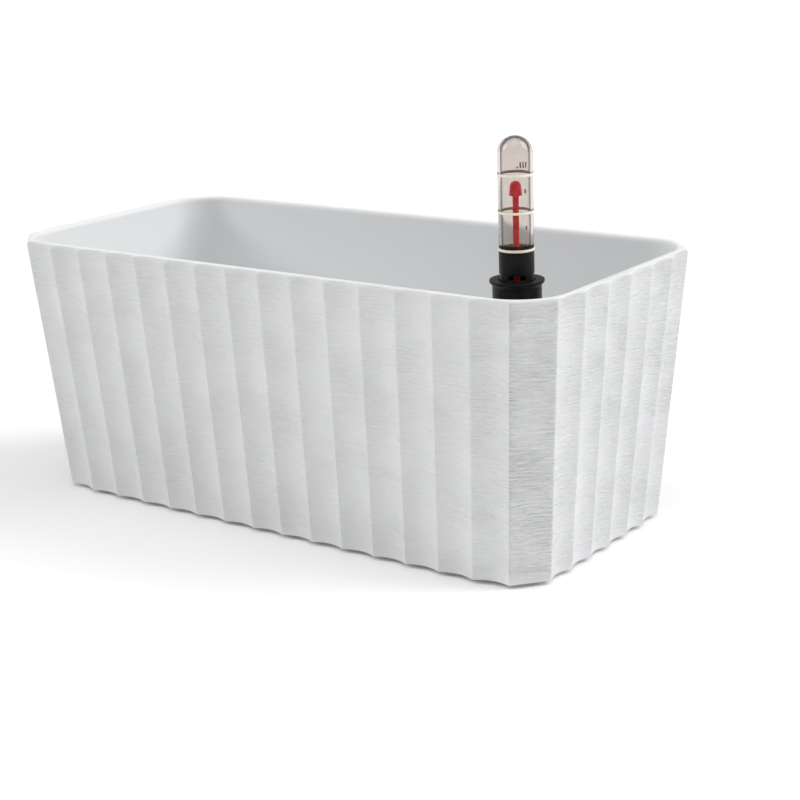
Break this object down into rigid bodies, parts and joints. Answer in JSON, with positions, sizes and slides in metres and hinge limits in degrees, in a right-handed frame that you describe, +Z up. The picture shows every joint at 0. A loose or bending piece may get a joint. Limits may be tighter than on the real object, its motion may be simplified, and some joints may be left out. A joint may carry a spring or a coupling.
{
  "type": "self watering planter",
  "caption": "Long fluted planter box with a water reservoir under a perforated tray and a float level gauge standing in one corner.",
  "frame": {"origin": "middle of the footprint, on the surface that the planter stands on", "axes": "+X along the planter's length towards the gauge, +Y across its width towards the side away from the gauge, +Z up"},
  "size_m": [0.28, 0.13, 0.1684],
  "materials": {
    "pot_plastic": "matte white, finely wrinkled outside and smooth inside",
    "tray_plastic": "satin off-white",
    "gauge_black": "semi-gloss black",
    "gauge_clear": "clear plastic",
    "ring_cream": "satin cream",
    "indicator_red": "glossy red",
    "float_foam": "closed-cell foam",
    "plug_rubber": "soft grey rubber"
  },
  "bodies": {
    "pot": {"pot_shell": "pot_plastic"},
    "plug": {"drain_plug": "plug_rubber"},
    "tray": {"separator_tray": "tray_plastic", "wicking_basket_left": "tray_plastic", "wicking_basket_right": "tray_plastic", "gauge_sleeve": "gauge_black"},
    "gauge": {"gauge_body": "gauge_black", "gauge_dome": "gauge_clear", "level_ring_min": "ring_cream", "level_ring_mid": "ring_cream", "level_ring_max": "ring_cream", "rod_guide": "gauge_black", "float_cage": "gauge_black", "cage_end_cap": "gauge_black"},
    "float": {"indicator_rod": "indicator_red", "indicator_head": "indicator_red", "float_body": "float_foam", "float_clip": "gauge_black"}
  },
  "joints": [
    {"name": "tray_lift", "type": "slide", "parent": "pot", "child": "tray", "axis": [0, 0, 1], "range_m": [0, 0.12]},
    {"name": "gauge_lift", "type": "slide", "parent": "tray", "child": "gauge", "axis": [0, 0, 1], "range_m": [0, 0.115]},
    {"name": "float_slide", "type": "slide", "parent": "gauge", "child": "float", "axis": [0, 0, 1], "range_m": [-0.0236, 0.0155]},
    {"name": "plug_pull", "type": "slide", "parent": "pot", "child": "plug", "axis": [0, 0, -1], "range_m": [0, 0.012]}
  ]
}
